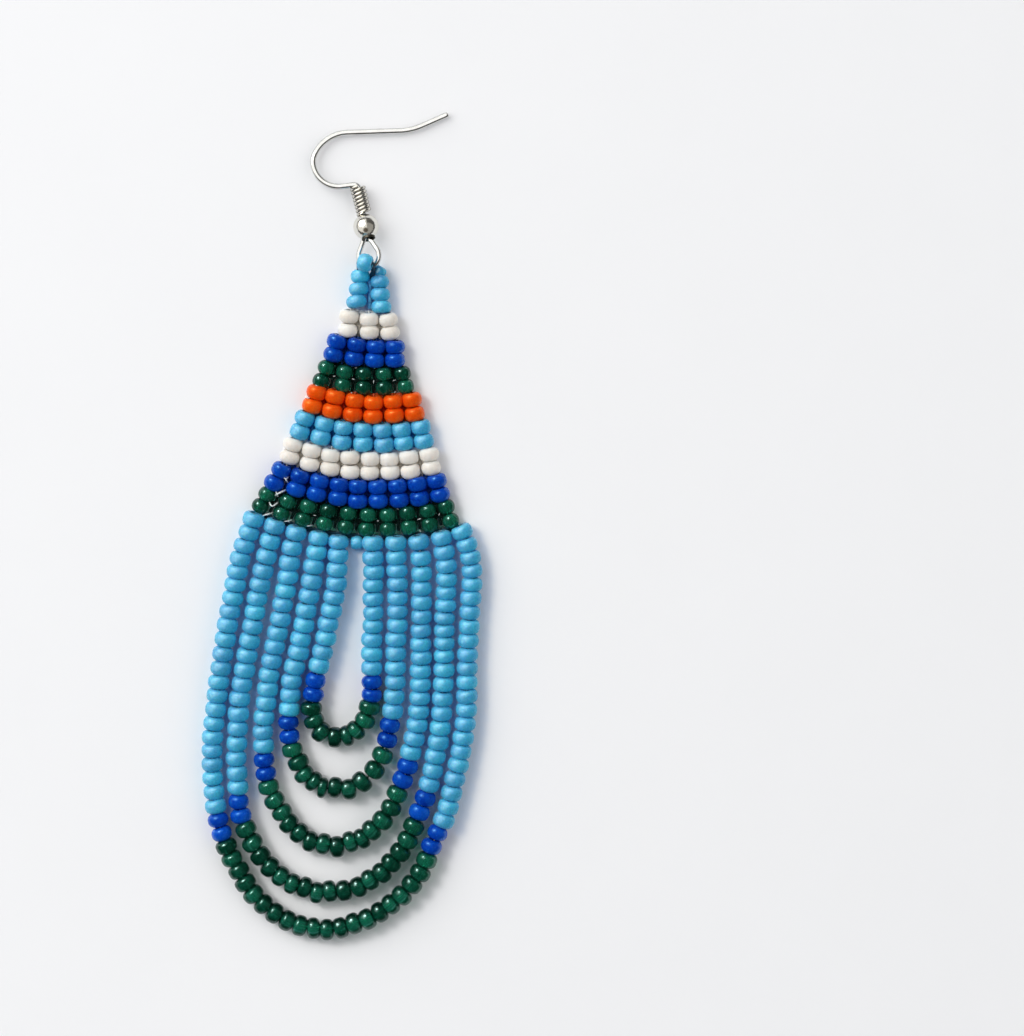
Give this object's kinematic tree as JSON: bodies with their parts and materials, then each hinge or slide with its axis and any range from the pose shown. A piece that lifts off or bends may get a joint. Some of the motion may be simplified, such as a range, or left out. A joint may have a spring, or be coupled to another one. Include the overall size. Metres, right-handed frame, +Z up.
{
  "type": "beaded drop earring",
  "caption": "Beaded statement earring on a fish-hook ear wire: a triangle woven in bands of glass seed beads with graduated bead loops hanging from its wide edge.",
  "frame": {"origin": "centre of the footprint, on the surface that the earring lies on", "axes": "+Z up from the surface that the earring lies on; +Y from the loops toward the ear wire; +X toward the side that the ear wire's tip points to"},
  "size_m": [0.035, 0.1036, 0.0044],
  "materials": {
    "silver_metal": "polished silver-coloured metal",
    "sky_glass": "opaque glass, glossy",
    "cobalt_glass": "opaque glass, glossy",
    "green_glass": "transparent emerald glass",
    "white_glass": "opaque off-white glass, soft sheen",
    "orange_glass": "opaque glass, glossy"
  },
  "bodies": {
    "root": {"ear_wire": "silver_metal", "wire_ball": "silver_metal", "wire_coil": "silver_metal", "apex_left": "sky_glass", "apex_right": "sky_glass", "apex_front": "sky_glass", "apex_back": "sky_glass", "band_white_upper": "white_glass", "band_cobalt_upper": "cobalt_glass", "band_green_upper": "green_glass", "band_orange": "orange_glass", "band_sky": "sky_glass", "band_white_lower": "white_glass", "band_cobalt_lower": "cobalt_glass", "band_green_lower": "green_glass", "link_bead": "sky_glass", "loop1_sky_left": "sky_glass", "loop1_cobalt_left": "cobalt_glass", "loop1_green": "green_glass", "loop1_cobalt_right": "cobalt_glass", "loop1_sky_right": "sky_glass", "loop2_sky_left": "sky_glass", "loop2_cobalt_left": "cobalt_glass", "loop2_green": "green_glass", "loop2_cobalt_right": "cobalt_glass", "loop2_sky_right": "sky_glass", "loop3_sky_left": "sky_glass", "loop3_cobalt_left": "cobalt_glass", "loop3_green": "green_glass", "loop3_cobalt_right": "cobalt_glass", "loop3_sky_right": "sky_glass", "loop4_sky_left": "sky_glass", "loop4_cobalt_left": "cobalt_glass", "loop4_green": "green_glass", "loop4_cobalt_right": "cobalt_glass", "loop4_sky_right": "sky_glass", "loop5_sky_left": "sky_glass", "loop5_cobalt_left": "cobalt_glass", "loop5_green": "green_glass", "loop5_cobalt_right": "cobalt_glass", "loop5_sky_right": "sky_glass"}
  },
  "joints": []
}
